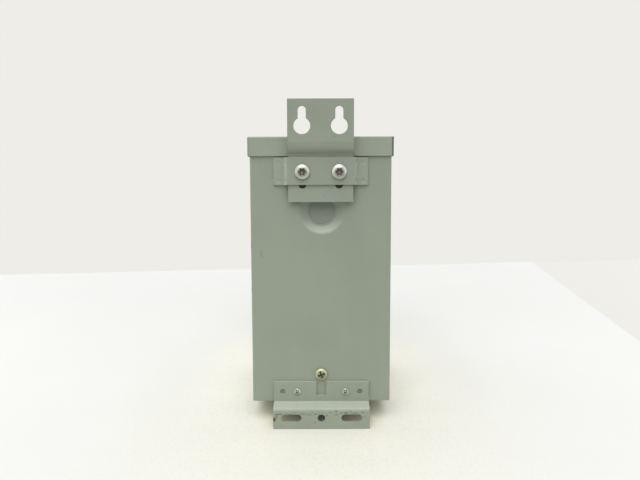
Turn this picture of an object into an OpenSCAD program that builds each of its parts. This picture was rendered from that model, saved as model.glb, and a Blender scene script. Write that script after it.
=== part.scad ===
// Wall-mounted single-phase potted transformer, seen from its wall side along +Y.
// Origin: midway between the round openings of the two keyholes, on the plane of the wall.
// +Z is up, +X runs along the wall, +Y leads from the wall to the front of the case.

/* [Case] */
// Space between the core and the side walls
core_side_gap = 5.42; // [3:0.01:12]
// Space between the coil and the back and front walls
coil_gap = 2.94; // [1:0.01:10]
// Height of the core above the case's bottom
core_lift = 14.2; // [12:0.1:20]
// Height of the resin above the core, over the joints of the leads
resin_cover = 32.6; // [20:0.1:60]
// Thickness of the case and cover sheet
sheet = 1.2; // [0.9:0.1:1.5]
// Outside radius of the upright bends of the case
case_r = 1.8; // [1.5:0.1:4]
// Depth of the turned edges that are welded inside the case
weld_flange = 10; // [6:0.5:12]

/* [Wiring compartment] */
// Depth of the compartment, from the case's top edge to the resin
compartment_h = 89.3; // [84:0.1:94]
// Height of the front panel above the resin
front_rise = 18; // [16:0.5:24]
// Width over flats of the nuts pressed into the front panel
cover_nut_af = 9; // [8:0.5:11]
// Thickness of the nuts pressed into the front panel
cover_nut_t = 3; // [2:0.5:4]

/* [Knockouts] */
// Diameter of the slug that is knocked out for a conduit
knockout_d = 22.2; // [20:0.1:24]
// Diameter of the pressed dish around the slug
dish_d = 40; // [33:0.5:41]
// Depth of the pressed dish
dish_depth = 3.5; // [2:0.1:4]
// Distance of the knockout centres below the case's top edge
knockout_drop = 60.1; // [56:0.1:64]
// Offset of the back wall's knockout from the middle
knockout_shift = 0.8; // [-2:0.1:2]
// Distance that the half-sheared slug stands back from its land
slug_step = 0.6; // [0.3:0.1:0.8]
// Width of the flat land around the slug
land_w = 1.5; // [0.5:0.1:2]
// Share of the dish's wall that is rounded into the sheet
rim_share = 0.25; // [0.1:0.05:0.5]

/* [Cover] */
// Depth of the turned edges of the cover
cover_flange = 16.1; // [12:0.1:18]
// Gap between the cover and the case
cover_gap = 0.3; // [0.2:0.05:0.6]
// Outside radius of the bends of the cover
cover_r = 1.3; // [1.3:0.1:3]
// Overlap of the cover on the front panel
cover_overlap = 16; // [14:0.5:20]
// Distance of the two cover screws from the sides of the case
cover_screw_edge = 15; // [12:0.5:30]
// Shank diameter of the cover screws
cover_screw_d = 4.8; // [4:0.1:5.5]
// Length of the cover screws under their heads
cover_screw_l = 9; // [7:0.5:12]
// Diameter of the washer faces of the cover screws
cover_washer_d = 10; // [8:0.1:12]
// Thickness of the washer faces
cover_washer_t = 0.9; // [0.6:0.1:1.5]
// Width over flats of the cover screws' heads
cover_head_af = 7.6; // [6:0.1:8]
// Height of the cover screws' heads above their washer faces
cover_head_h = 2.1; // [1.5:0.1:3]
// Width of the screwdriver slots in the cover screws
driver_slot_w = 1.2; // [0.8:0.1:1.5]
// Depth of the screwdriver slots
driver_slot_h = 1.2; // [0.6:0.1:1.4]
// Open seam at the cover's back left corner
seam_left = 0.2; // [0.1:0.1:1]
// Open seam at the cover's back right corner
seam_right = 0.3; // [0.1:0.1:1.5]
// Setback of the side edge at the cover's back right corner
seam_setback = 1.1; // [0:0.1:2]

/* [Wall plane] */
// Space between the wall and the heads of the strap screws
wall_gap = 0.6; // [0.2:0.1:2]
// Space between the keyhole plate and the case
plate_gap = 3.5; // [3:0.1:6]
// Height of the keyhole centres above the case's top edge
keyhole_rise = 8.7; // [8:0.1:16]

/* [Upper bracket] */
// Width of the keyhole plate
plate_w = 53.6; // [50:0.2:60]
// Thickness of the keyhole plate and of the lower bracket
plate_t = 1.9; // [1.5:0.1:2.2]
// Height of the keyhole plate above the keyhole centres
plate_above = 21.3; // [19:0.1:26]
// Length of the plate below the keyhole centres
plate_below = 61.2; // [60:0.2:66]
// Height of the step in the plate
step_h = 6; // [5:0.5:9]
// Distance of the step's lower corner below the keyhole centres
step_drop = 21.3; // [20:0.1:24]
// Radius of the step's upper bend, to the middle of the sheet
step_r = 7; // [3:0.5:8]
// Radius of the step's lower bend, to the middle of the sheet
step_low_r = 2.5; // [2:0.5:5]
// Distance between the two keyholes
keyhole_spacing = 30.2; // [28:0.2:32]
// Diameter of the round opening of a keyhole
keyhole_d = 13.6; // [12:0.2:15]
// Width of the narrow slot of a keyhole
keyhole_slot = 6.5; // [5.5:0.1:7]
// Height of the slot's end arc above the round opening
keyhole_seat = 12.5; // [10:0.5:14]
// Distance between the two rows of tapped holes in the plate
row_pitch = 10.4; // [9.5:0.1:12]

/* [Strap] */
// Length of each wing of the strap on the case
wing_w = 9; // [7:0.2:12]
// Height of the strap
strap_h = 22.6; // [20:0.1:24]
// Thickness of the strap
strap_t = 1.5; // [1.2:0.1:1.8]
// Distance of the strap's middle below the keyhole centres
strap_drop = 35.9; // [34:0.1:38]
// Distance of the strap screws and the weld spots' middle below the keyhole centres
strap_screw_drop = 36.6; // [35:0.1:38]
// Gap between the strap's risers and the plate, at the bend
strap_side_gap = 1.3; // [1.2:0.1:2]
// Run of each riser along the wall
riser_run = 2.1; // [1.5:0.1:3]
// Bend radius of the strap, to the middle of the sheet
strap_r = 1.5; // [1.2:0.1:2]
// Distance between the two strap screws
strap_screw_spacing = 30.2; // [28:0.2:34]
// Shank diameter of the strap screws
strap_screw_d = 6.2; // [5.5:0.1:6.4]
// Head diameter of the strap screws
strap_head_d = 12; // [11:0.2:13.4]
// Head height of the strap screws
strap_head_h = 4; // [3:0.1:4.2]
// Space between the tips of the strap screws and the case
screw_tip_gap = 0.8; // [0.4:0.1:2]
// Height of the drawn and tapped collars behind the plate
collar_h = 1.6; // [0.8:0.1:2.4]
// Wall of the collars
collar_t = 1.3; // [0.8:0.1:2]
// Diameter of the dimple at a weld spot
spot_d = 3.7; // [3:0.1:5]
// Depth of the dimple at a weld spot
spot_depth = 0.25; // [0.1:0.05:0.4]
// Distance between the weld spots of each wing
weld_pitch = 15; // [12:0.5:16]

/* [Lower bracket] */
// Width of the lower bracket
bracket_w = 81.4; // [78:0.2:90]
// Space between the bracket's upper flange and the head of the core screw
bracket_gap = 1; // [0.2:0.1:3]
// Height of the bracket below the case
bracket_down = 20; // [18:0.5:26]
// Height of the shelf between the bracket's two flanges
shelf_drop = 2.8; // [2:0.1:6]
// Distance of the shelf's bend below the case's bottom
shelf_low = 0.7; // [-0.5:0.1:2]
// Bend radius of the shelf, to the middle of the sheet
shelf_r = 2; // [1.6:0.1:3]
// Distance between the middles of the two slots
slot_spacing = 51; // [48:0.5:56]
// Length of a slot over its round ends
slot_l = 17.4; // [14:0.2:20]
// Width of a slot
slot_w = 6.6; // [5.6:0.2:7.2]
// Height of the slots above the bracket's lower edge
slot_rise = 9.3; // [8:0.1:10]
// Diameter of the middle hole
middle_hole_d = 6.4; // [5:0.1:7]
// Distance between the two rivets
rivet_spacing = 41.2; // [36:0.2:48]
// Distance between the two spare holes
spare_spacing = 66; // [62:0.5:72]
// Diameter of the spare holes
spare_d = 4.4; // [3.6:0.1:5]
// Height of the rivets and spare holes above the case's bottom
rivet_rise = 8.8; // [8.6:0.1:10]
// Shank diameter of the rivets
rivet_d = 3.2; // [2.4:0.1:4]
// Head diameter of the rivets
rivet_head_d = 6; // [5:0.1:7]
// Head height of the rivets
rivet_head_h = 1.3; // [0.9:0.1:1.6]
// Diameter of the mandrel's bore in the rivets
mandrel_d = 2.5; // [1.6:0.1:3]
// Depth of the mandrel's bore
mandrel_depth = 0.8; // [0.4:0.1:1.2]
// Diameter of the bulbs behind the wall
bulb_d = 4.8; // [4.4:0.1:5.5]
// Length of the bulbs behind the wall
bulb_l = 2.6; // [1.5:0.1:4]
// Width of the notch in the bracket's upper edge
notch_w = 8.3; // [7:0.1:9]
// Depth of the notch
notch_h = 11.9; // [10:0.1:13]

/* [Core screw] */
// Height of the core screw above the core's underside
core_screw_rise = 9.4; // [6:0.1:12]
// Shank diameter of the core screw
core_screw_d = 5; // [4:0.1:5.5]
// Head diameter of the core screw
core_head_d = 10.4; // [9:0.1:10.6]
// Head height of the core screw
core_head_h = 3.2; // [2.5:0.1:4]
// Length of the core screw under its head
core_screw_l = 12; // [8:0.5:15]

/* [Core and coil] */
// Width of a core yoke, half the width of the centre leg
lamination = 17.46; // [16.5:0.01:17.6]
// Depth of the lamination stack
stack_d = 58; // [50:0.5:59]
// Free space between the coil and the core window
window_gap = 0.6; // [0.4:0.1:1]
// Wall thickness of the coil former
former_t = 1.5; // [1.2:0.1:2]
// Build of the primary winding
primary_t = 6.4; // [5:0.1:7]
// Build of the insulation between the windings
barrier_t = 0.8; // [0.5:0.1:1.2]
// Build of the tape around the coil
tape_t = 0.7; // [0.5:0.1:1]
// Thickness of the steel foot under the core
foot_t = 1.9; // [1.5:0.1:2.2]
// Shank diameter of the core bolts
bolt_d = 4.8; // [4:0.1:5]
// Width over flats of the core bolts' heads and nuts
bolt_af = 9; // [8:0.5:10]
// Thickness of the core bolts' heads and nuts
bolt_head_h = 3.5; // [3:0.5:4]

/* [Leads] */
// Number of leads of each winding
lead_count = 4; // [2:1:4]
// Outside diameter of a lead
lead_d = 3.6; // [3:0.1:4]
// Diameter of the lead's stranded conductor
strand_d = 1.8; // [1.2:0.1:2.2]
// Distance between neighbouring leads
lead_pitch = 16; // [12:0.5:18]
// Height of the leads' bends above the resin
lead_rise = 54; // [45:0.5:60]
// Bend radius of the leads
lead_r = 9; // [7:0.5:10]
// Length of a lead past its bend
lead_tail = 26; // [20:0.5:30]
// Length of bare conductor at a lead's end
bare_l = 10; // [6:0.5:14]

/* [Ground stud] */
// Diameter of the ground stud
stud_d = 4.8; // [4:0.1:6]
// Length of the ground stud
stud_l = 14; // [12:0.5:18]
// Distance of the ground stud below the case's top edge
stud_drop = 34.8; // [30:0.1:38]
// Distance of the ground stud from the inside of the back wall
stud_back = 15; // [12:0.5:18]
// Thickness of the ground washer
washer_t = 1; // [0.8:0.1:1.6]
// Thickness of the ground nut
stud_nut_t = 3.2; // [2.5:0.1:4]

/* [Hidden] */
$fn = 48;

paint = [0.57, 0.60, 0.54];
zinc = [0.80, 0.80, 0.78];
yellow_zinc = [0.80, 0.76, 0.50];
copper = [0.72, 0.42, 0.24];
far = 400;
fit = 0.05;
bend_steps = 6;
rim_steps = 5;

// Outside sizes of the case, from the core and coil outwards
case_w = 2 * (3 * lamination + core_side_gap + sheet);
case_d = stack_d + 2 * (lamination - window_gap + coil_gap + sheet);
case_h = core_lift + 5 * lamination + resin_cover + compartment_h;
standoff = wall_gap + strap_head_h + strap_t + plate_t + plate_gap;

// Levels and planes
top_z = -keyhole_rise;
bottom_z = top_z - case_h;
resin_z = top_z - compartment_h;
front_top_z = resin_z + front_rise;
back_y = standoff;
inner_y = back_y + sheet;
front_y = back_y + case_d;
mid_y = back_y + case_d / 2;
inner_x = case_w / 2 - sheet;
knockout_z = top_z - knockout_drop;

// Cover
cover_w = case_w + 2 * (cover_gap + sheet);
cover_top_z = top_z + cover_gap + sheet;
cover_back_y = back_y - cover_gap - sheet;
cover_front_y = front_y + cover_gap + sheet;
cover_low_z = front_top_z - cover_overlap;
cover_screw_z = (front_top_z + cover_low_z) / 2;
cover_screw_x = case_w / 2 - cover_screw_edge;

// Upper bracket and strap, from the case outwards
strap_z = -strap_drop;
strap_low_z = strap_z - strap_h / 2;
screw_z = -strap_screw_drop;
tapped_rows = [screw_z, screw_z - row_pitch];
plate_in_y = back_y - plate_gap - plate_t;
plate_top_z = plate_above;
plate_low_z = -plate_below;
riser_x = plate_w / 2 + strap_side_gap;

// Lower bracket
core_z = bottom_z + core_lift;
core_screw_z = core_z + core_screw_rise;
bracket_top_z = core_screw_z - core_head_d / 2 - bracket_gap;
bracket_low_z = bottom_z - bracket_down;
rivet_z = bottom_z + rivet_rise;
slot_z = bracket_low_z + slot_rise;

// Core and coil
window_z = core_z + lamination;
window_h = 3 * lamination;
core_back_y = mid_y - stack_d / 2;
core_front_y = mid_y + stack_d / 2;
former_h = window_h - 2 * window_gap;
former_z = window_z + window_gap;
coil_space = lamination - 2 * window_gap;
secondary_t = coil_space - former_t - primary_t - barrier_t - tape_t;
bolt_x = 2.5 * lamination;
bolt_levels = [core_z + 0.5 * lamination, core_z + 4.5 * lamination];
foot_top_z = core_z + lamination;

// Leads
lead_y = stack_d / 2 + lamination / 2;
lead_z = former_z + former_h;
bend_z = resin_z + lead_rise;

// Points of one side of a sheet that follows path, a distance s off its middle line.
// Each corner of the path becomes an arc of middle radius r, or r[0], r[1] and so on in a list.
function unit(v) = v / norm(v);
function normal(v) = [-v[1], v[0]];
function turn(a, b) = atan2(a[0] * b[1] - a[1] * b[0], a * b);
function corner(p, a, b, r, s) =
    let (angle = turn(a, b), way = sign(angle), inward = normal(a) * way)
    let (centre = p - a * r * tan(abs(angle) / 2) + inward * r, out = r - way * s)
    [for (k = [0:bend_steps])
        let (t = k / bend_steps * abs(angle))
        centre - inward * out * cos(t) + a * out * sin(t)];
function side(path, r, s) =
    let (last = len(path) - 1)
    let (way = [for (i = [0:last - 1]) unit(path[i + 1] - path[i])])
    concat(
        [path[0] + normal(way[0]) * s],
        [for (i = [1:last - 1])
            each corner(path[i], way[i - 1], way[i], is_list(r) ? r[i - 1] : r, s)],
        [path[last] + normal(way[last - 1]) * s]);
function reversed(v) = [for (i = [len(v) - 1:-1:0]) v[i]];

// Section of a bent sheet of thickness t
module bent(path, t, r) {
    polygon(concat(side(path, r, t / 2), reversed(side(path, r, -t / 2))));
}

// Box between two corners
module block(low, high) {
    translate(low) cube(high - low);
}

// Draws its child, a section in Y and Z, along X over the width w
module along_x(w) {
    translate([-w / 2, 0, 0]) rotate([90, 0, 90]) linear_extrude(w) children();
}

// Draws its child, a section in X and Z, along Y from y0 to y1
module along_y(y0, y1) {
    translate([0, y1, 0]) rotate([90, 0, 0]) linear_extrude(y1 - y0) children();
}

// Cylinder along Y from y0 to y1
module rod_y(x, z, d, y0, y1) {
    translate([x, y0, z]) rotate([-90, 0, 0]) cylinder(d = d, h = y1 - y0);
}

// Hexagon along Y, over flats af
module hex_y(x, z, af, y0, y1) {
    translate([x, y0, z]) rotate([-90, 0, 0]) cylinder(d = af / cos(30), h = y1 - y0, $fn = 6);
}

// Rectangle with its corners rounded to r, between two corners
module round_rect(low, high, r) {
    square_low = [low[0] + r, low[1]];
    square_side = [low[0], low[1] + r];
    union() {
        translate(square_low) square([high[0] - low[0] - 2 * r, high[1] - low[1]]);
        translate(square_side) square([high[0] - low[0], high[1] - low[1] - 2 * r]);
        for (x = [low[0] + r, high[0] - r], y = [low[1] + r, high[1] - r])
            translate([x, y]) circle(r);
    }
}

// Section of the pressed dish and its slug, in radius and depth
dish_flat = knockout_d / 2 + land_w;
function rim_point(t, offset) = [dish_d / 2 - (dish_d / 2 - dish_flat) * rim_share * t,
    dish_depth * rim_share / (2 - rim_share) * t * t + offset];
function dish_line(offset) = concat([[dish_flat, dish_depth + offset]],
    [for (k = [rim_steps:-1:0]) rim_point(k / rim_steps, offset)]);
module dish_section() {
    slug = dish_depth + slug_step;
    polygon(concat(
        [[0, slug], [knockout_d / 2, slug], [knockout_d / 2, dish_depth]], dish_line(0),
        reversed(dish_line(sheet)),
        [[knockout_d / 2, dish_depth + sheet], [knockout_d / 2, slug + sheet], [0, slug + sheet]]));
}

// Opening that the dish fills, along +Z from the wall's outer face
module dish_opening() {
    translate([0, 0, -1]) cylinder(d = dish_d, h = sheet + 2);
}

// Pressed dish with its slug, sunk along +Z from the wall's outer face
module dish() {
    rotate_extrude() dish_section();
}

// Places a child on the outer face of the back wall or of a side wall, +Z inwards
module on_back_wall() {
    translate([knockout_shift, back_y, knockout_z]) rotate([-90, 0, 0]) children();
}
module on_side_wall(way) {
    translate([way * case_w / 2, mid_y, knockout_z]) rotate([0, -way * 90, 0]) children();
}

// Back and side walls, folded from one sheet
module case_wrap() {
    color(paint) {
        difference() {
            translate([0, 0, bottom_z]) linear_extrude(case_h) difference() {
                intersection() {
                    round_rect([-case_w / 2, back_y], [case_w / 2, front_y + case_r], case_r);
                    translate([-case_w / 2, back_y]) square([case_w, case_d]);
                }
                round_rect([-inner_x, inner_y], [inner_x, front_y + case_r], case_r - sheet);
            }
            on_back_wall() dish_opening();
            for (way = [-1, 1]) on_side_wall(way) dish_opening();
            rod_y(0, core_screw_z, core_screw_d + 2 * fit, back_y - 1, inner_y + 1);
            for (x = [-1, 1] * rivet_spacing / 2)
                rod_y(x, rivet_z, rivet_d, back_y - 1, inner_y + 1);
        }
        on_back_wall() dish();
        for (way = [-1, 1]) on_side_wall(way) dish();
    }
}

// Lower front wall, its upright edges turned back and welded inside the side walls
module front_panel() {
    color(paint) difference() {
        translate([0, 0, bottom_z]) linear_extrude(front_top_z - bottom_z) difference() {
            intersection() {
                round_rect([-inner_x, inner_y], [inner_x, front_y], case_r);
                translate([-inner_x, front_y - weld_flange]) square([2 * inner_x, weld_flange]);
            }
            round_rect([-inner_x + sheet, inner_y], [inner_x - sheet, front_y - sheet],
                case_r - sheet);
        }
        for (x = [-1, 1] * cover_screw_x)
            rod_y(x, cover_screw_z, cover_screw_d + 0.4, front_y - sheet - 1, front_y + 1);
    }
}

// Plan of the space inside the back and side walls, with the front panel's rounded corners
module inside_plan() {
    intersection() {
        round_rect([-inner_x, inner_y], [inner_x, front_y + case_r], case_r - sheet);
        round_rect([-inner_x, back_y - case_r], [inner_x, front_y], case_r);
    }
}

// Floor of the case, its side edges turned up and welded inside the side walls
module bottom_pan() {
    flange_end = front_y - weld_flange - cover_gap;
    color(paint) difference() {
        translate([0, 0, bottom_z]) linear_extrude(weld_flange) inside_plan();
        block([-inner_x + sheet, inner_y - 1, bottom_z + sheet], [inner_x - sheet, front_y + 1, top_z]);
        block([-inner_x - 1, flange_end, bottom_z + sheet], [inner_x + 1, front_y + 1, top_z]);
        for (x = [-1, 1] * inner_x) block([x - case_r, inner_y - 1, bottom_z - 1],
            [x + case_r, inner_y + case_r - sheet, bottom_z + weld_flange + 1]);
        front_panel();
    }
}

// Side outline of the cover: a cap over the case, running down in front of the compartment
module cover_outline(t, r) {
    back = cover_back_y + t;
    front = cover_front_y - t;
    intersection() {
        round_rect([back, bottom_z - far], [front, cover_top_z - t], r);
        union() {
            translate([back, cover_top_z - cover_flange - far * sign(t)])
                square([front - back, far + cover_flange]);
            translate([front - cover_flange, cover_low_z - far * sign(t)])
                square([cover_flange, far]);
        }
    }
}

// Solid inside the cover's outer face (t = 0) or inner face (t = sheet)
module cover_body(t) {
    r = max(cover_r - t, 0.2);
    half = cover_w / 2 - t;
    intersection() {
        along_x(cover_w + 2) cover_outline(t, r);
        along_y(cover_back_y - 1, cover_front_y + 1)
            round_rect([-half, bottom_z - far], [half, cover_top_z - t], r);
        translate([0, 0, cover_low_z - 1]) linear_extrude(far)
            round_rect([-half, cover_back_y - far], [half, cover_front_y - t], r);
    }
}

// Compartment cover, folded from one sheet: cap with turned edges and front
module cover() {
    lip_z = cover_top_z - cover_flange;
    edge_x = cover_w / 2 - sheet;
    color(paint) difference() {
        cover_body(0);
        cover_body(sheet);
        block([-edge_x, cover_back_y - 1, lip_z - 1],
            [-edge_x + seam_left, cover_back_y + sheet + 1, cover_top_z - cover_r]);
        block([edge_x - seam_right, cover_back_y - 1, lip_z - 1],
            [edge_x, cover_back_y + sheet + 1, cover_top_z - cover_r]);
        block([edge_x - seam_right, cover_back_y - 1, lip_z - 1],
            [edge_x + sheet + 1, cover_back_y + seam_setback, cover_top_z - cover_r]);
        for (x = [-1, 1] * cover_w / 2) translate([x, cover_back_y, lip_z]) rotate([45, 0, 0])
            cube([2 * sheet + 1, 2.4, 2.4], center = true);
        for (x = [-1, 1] * cover_screw_x)
            rod_y(x, cover_screw_z, cover_screw_d + 0.4, front_y - 1, cover_front_y + 1);
    }
}

// Washer-faced hexagon head screws that hold the cover's front
module cover_screws() {
    face_y = cover_front_y + cover_washer_t;
    top_y = face_y + cover_head_h;
    color(zinc) for (x = [-1, 1] * cover_screw_x) difference() {
        union() {
            rod_y(x, cover_screw_z, cover_screw_d, cover_front_y - cover_screw_l, cover_front_y);
            rod_y(x, cover_screw_z, cover_washer_d, cover_front_y, face_y);
            hex_y(x, cover_screw_z, cover_head_af, cover_front_y, top_y);
        }
        block([x - cover_head_af, top_y - driver_slot_h, cover_screw_z - driver_slot_w / 2],
            [x + cover_head_af, top_y + 1, cover_screw_z + driver_slot_w / 2]);
    }
}

// Nuts pressed into the inside of the front panel
module cover_nuts() {
    nut_y = front_y - sheet;
    color(zinc) for (x = [-1, 1] * cover_screw_x) difference() {
        hex_y(x, cover_screw_z, cover_nut_af, nut_y - cover_nut_t, nut_y);
        rod_y(x, cover_screw_z, cover_screw_d + 2 * fit, nut_y - cover_nut_t - 1, nut_y + 1);
    }
}

// Hat-shaped strap, welded to the back wall by its wings
module strap() {
    wing_y = back_y - strap_t / 2;
    face_y = plate_in_y - strap_t / 2;
    foot_x = riser_x + riser_run;
    path = [[-foot_x - wing_w, wing_y], [-foot_x, wing_y], [-riser_x, face_y],
        [riser_x, face_y], [foot_x, wing_y], [foot_x + wing_w, wing_y]];
    weld_x = foot_x + wing_w / 2;
    dimple_r = (spot_d * spot_d / 4 + spot_depth * spot_depth) / (2 * spot_depth);
    color(paint) difference() {
        translate([0, 0, strap_low_z]) linear_extrude(strap_h) bent(path, strap_t, strap_r);
        for (x = [-1, 1] * strap_screw_spacing / 2)
            rod_y(x, screw_z, strap_screw_d + 0.8, plate_in_y - far, plate_in_y + 1);
        for (x = [-1, 1] * weld_x, z = [-1, 1] * weld_pitch / 2)
            translate([x, back_y - strap_t - dimple_r + spot_depth, screw_z + z])
                sphere(dimple_r);
    }
}

// Round opening with a narrow slot above it, through the wall plane
module keyhole(x) {
    translate([x, 0, 0]) {
        rod_y(0, 0, keyhole_d, -1, plate_t + 1);
        rod_y(0, keyhole_seat, keyhole_slot, -1, plate_t + 1);
        block([-keyhole_slot / 2, -1, 0], [keyhole_slot / 2, plate_t + 1, keyhole_seat]);
    }
}

// Stepped keyhole plate with two rows of drawn and tapped holes
module upper_bracket() {
    face_y = plate_t / 2;
    held_y = plate_in_y + plate_t / 2;
    path = [[face_y, plate_top_z], [face_y, step_h - step_drop], [held_y, -step_drop],
        [held_y, plate_low_z]];
    color(paint) difference() {
        union() {
            along_x(plate_w) bent(path, plate_t, [step_r, step_low_r]);
            for (x = [-1, 1] * strap_screw_spacing / 2, z = tapped_rows)
                rod_y(x, z, strap_screw_d + 2 * collar_t, held_y, plate_in_y + plate_t + collar_h);
        }
        for (x = [-1, 1] * keyhole_spacing / 2) keyhole(x);
        for (x = [-1, 1] * strap_screw_spacing / 2, z = tapped_rows)
            rod_y(x, z, strap_screw_d + 2 * fit, plate_in_y - 1, back_y);
    }
}

// Six-lobed driver recess, cut along +Z from the head's top
module lobed_recess(d, depth) {
    translate([0, 0, -depth]) {
        cylinder(d = 0.74 * d, h = depth + 1);
        for (a = [0:60:300]) rotate(a) translate([0.34 * d, 0, 0]) cylinder(d = 0.28 * d, h = depth + 1);
    }
}

// Cross recess, cut along +Z from the head's top
module cross_recess(d, depth) {
    translate([0, 0, -depth]) {
        cylinder(d = 0.4 * d, h = depth + 1);
        for (a = [0, 90]) rotate(a) translate([-d / 2, -0.11 * d, 0]) cube([d, 0.22 * d, depth + 1]);
    }
}

// Pan head of diameter d and height h, its top along +Z, over a round shoulder
module pan_head(d, h) {
    shoulder = 0.45 * h;
    dome = h - shoulder;
    edge = 0.5 * d;
    crown_r = (edge * edge + dome * dome) / (2 * dome);
    cylinder(d = d, h = shoulder);
    intersection() {
        translate([0, 0, shoulder]) cylinder(d = d, h = dome);
        translate([0, 0, h - crown_r]) sphere(crown_r);
    }
}

// Pan head screws that clamp the strap on the keyhole plate
module strap_screws() {
    head_y = plate_in_y - strap_t;
    color(zinc) for (x = [-1, 1] * strap_screw_spacing / 2) {
        rod_y(x, screw_z, strap_screw_d, head_y, back_y - screw_tip_gap);
        translate([x, head_y, screw_z]) rotate([90, 0, 0]) difference() {
            pan_head(strap_head_d, strap_head_h);
            translate([0, 0, strap_head_h]) lobed_recess(0.55 * strap_head_d, 2.4);
        }
    }
}

// Lower wall bracket with two slots, three plain holes and a notch
module lower_bracket() {
    upper_y = back_y - plate_t / 2;
    lower_y = plate_t / 2;
    shelf_z = bottom_z - shelf_low;
    path = [[upper_y, bracket_top_z], [upper_y, shelf_z], [lower_y, shelf_z - shelf_drop],
        [lower_y, bracket_low_z]];
    reach = slot_l / 2 - slot_w / 2;
    color(paint) difference() {
        along_x(bracket_w) bent(path, plate_t, shelf_r);
        for (x = [-1, 1] * slot_spacing / 2) {
            block([x - reach, -1, slot_z - slot_w / 2], [x + reach, plate_t + 1, slot_z + slot_w / 2]);
            for (end = [-1, 1] * reach) rod_y(x + end, slot_z, slot_w, -1, plate_t + 1);
        }
        rod_y(0, slot_z, middle_hole_d, -1, plate_t + 1);
        for (x = [-1, 1] * spare_spacing / 2)
            rod_y(x, rivet_z, spare_d, back_y - plate_t - 1, back_y + 1);
        for (x = [-1, 1] * rivet_spacing / 2)
            rod_y(x, rivet_z, rivet_d, back_y - plate_t - 1, back_y + 1);
        block([-notch_w / 2, back_y - plate_t - 1, bracket_top_z - notch_h],
            [notch_w / 2, back_y + 1, bracket_top_z + 1]);
    }
}

// Blind rivets that hold the lower bracket, each with its bulb behind the wall
module bracket_rivets() {
    head_y = back_y - plate_t;
    color(zinc) for (x = [-1, 1] * rivet_spacing / 2) {
        rod_y(x, rivet_z, rivet_d, head_y, inner_y);
        rod_y(x, rivet_z, bulb_d, inner_y, inner_y + bulb_l);
        translate([x, head_y, rivet_z]) rotate([90, 0, 0]) difference() {
            pan_head(rivet_head_d, rivet_head_h);
            translate([0, 0, rivet_head_h - mandrel_depth]) cylinder(d = mandrel_d, h = rivet_head_h);
        }
    }
}

// Yellow pan head screw that ties the core's foot to the back wall
module core_screw() {
    color(yellow_zinc) {
        rod_y(0, core_screw_z, core_screw_d, back_y, back_y + core_screw_l);
        translate([0, back_y, core_screw_z]) rotate([90, 0, 0]) difference() {
            pan_head(core_head_d, core_head_h);
            translate([0, 0, core_head_h]) rotate(20) cross_recess(0.62 * core_head_d, 2);
        }
    }
}

// Holes for the four core bolts
module bolt_holes() {
    for (x = [-1, 1] * bolt_x, z = bolt_levels)
        rod_y(x, z, bolt_d + 2 * fit, core_back_y - 10, core_front_y + 10);
}

// Stack of E laminations, its three legs up
module core_e_stack() {
    color("dimgray") difference() {
        block([-3 * lamination, core_back_y, core_z],
            [3 * lamination, core_front_y, core_z + 4 * lamination]);
        for (x = [-1, 1] * 1.5 * lamination)
            block([x - lamination / 2, core_back_y - 1, window_z],
                [x + lamination / 2, core_front_y + 1, window_z + window_h + 1]);
        bolt_holes();
    }
}

// Stack of I laminations that closes the core
module core_i_stack() {
    color("gray") difference() {
        block([-3 * lamination, core_back_y, core_z + 4 * lamination],
            [3 * lamination, core_front_y, core_z + 5 * lamination]);
        bolt_holes();
    }
}

// Steel channel behind the lower yoke; the core screw ties it to the back wall
module core_foot() {
    low_z = core_z - foot_t;
    half = 3 * lamination;
    color("slategray") difference() {
        block([-half, inner_y, low_z], [half, core_back_y, foot_top_z]);
        block([-half - 1, inner_y + foot_t, core_z], [half + 1, core_back_y - foot_t, foot_top_z + 1]);
        rod_y(0, core_screw_z, core_screw_d, inner_y - 1, inner_y + foot_t + 1);
        bolt_holes();
    }
}

// Bolts through the core's corners, heads to the front
module core_bolts() {
    color(zinc) for (x = [-1, 1] * bolt_x, z = bolt_levels) {
        rod_y(x, z, bolt_d, core_back_y - foot_t - bolt_head_h, core_front_y);
        hex_y(x, z, bolt_af, core_front_y, core_front_y + bolt_head_h);
    }
}

// Nuts of the core bolts, on the foot below and on the core above
module core_nuts() {
    color(zinc) for (x = [-1, 1] * bolt_x, k = [0, 1]) {
        z = bolt_levels[k];
        nut_y = core_back_y - foot_t * (1 - k);
        difference() {
            hex_y(x, z, bolt_af, nut_y - bolt_head_h, nut_y);
            rod_y(x, z, bolt_d, nut_y - bolt_head_h - 1, nut_y + 1);
        }
    }
}

// Square ring around the centre leg, between two distances from the leg
module leg_ring(inner, outer, z, h) {
    difference() {
        block([-lamination - outer, core_back_y - outer, z],
            [lamination + outer, core_front_y + outer, z + h]);
        block([-lamination - inner, core_back_y - inner, z - 1],
            [lamination + inner, core_front_y + inner, z + h + 1]);
    }
}

tube_in = window_gap;
tube_out = tube_in + former_t;
primary_out = tube_out + primary_t;
barrier_out = primary_out + barrier_t;
secondary_out = barrier_out + secondary_t;
tape_out = secondary_out + tape_t;
winding_z = former_z + former_t;
winding_h = former_h - 2 * former_t;

// Former: a square tube on the centre leg with a flange at each end
module coil_former() {
    color("ivory") {
        leg_ring(tube_in, tube_out, former_z, former_h);
        for (z = [former_z, former_z + former_h - former_t]) leg_ring(tube_in, tape_out, z, former_t);
    }
}
module primary_winding() {
    color(copper) leg_ring(tube_out, primary_out, winding_z, winding_h);
}
module winding_barrier() {
    color("khaki") leg_ring(primary_out, barrier_out, winding_z, winding_h);
}
module secondary_winding() {
    color(copper) leg_ring(barrier_out, secondary_out, winding_z, winding_h);
}
module coil_tape() {
    color("gold") leg_ring(secondary_out, tape_out, winding_z, winding_h);
}

// Middle line of lead k: way is 1 on the front side of the coil, -1 on the back side
function lead_x(k) = (k - (lead_count - 1) / 2) * lead_pitch;

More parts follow.
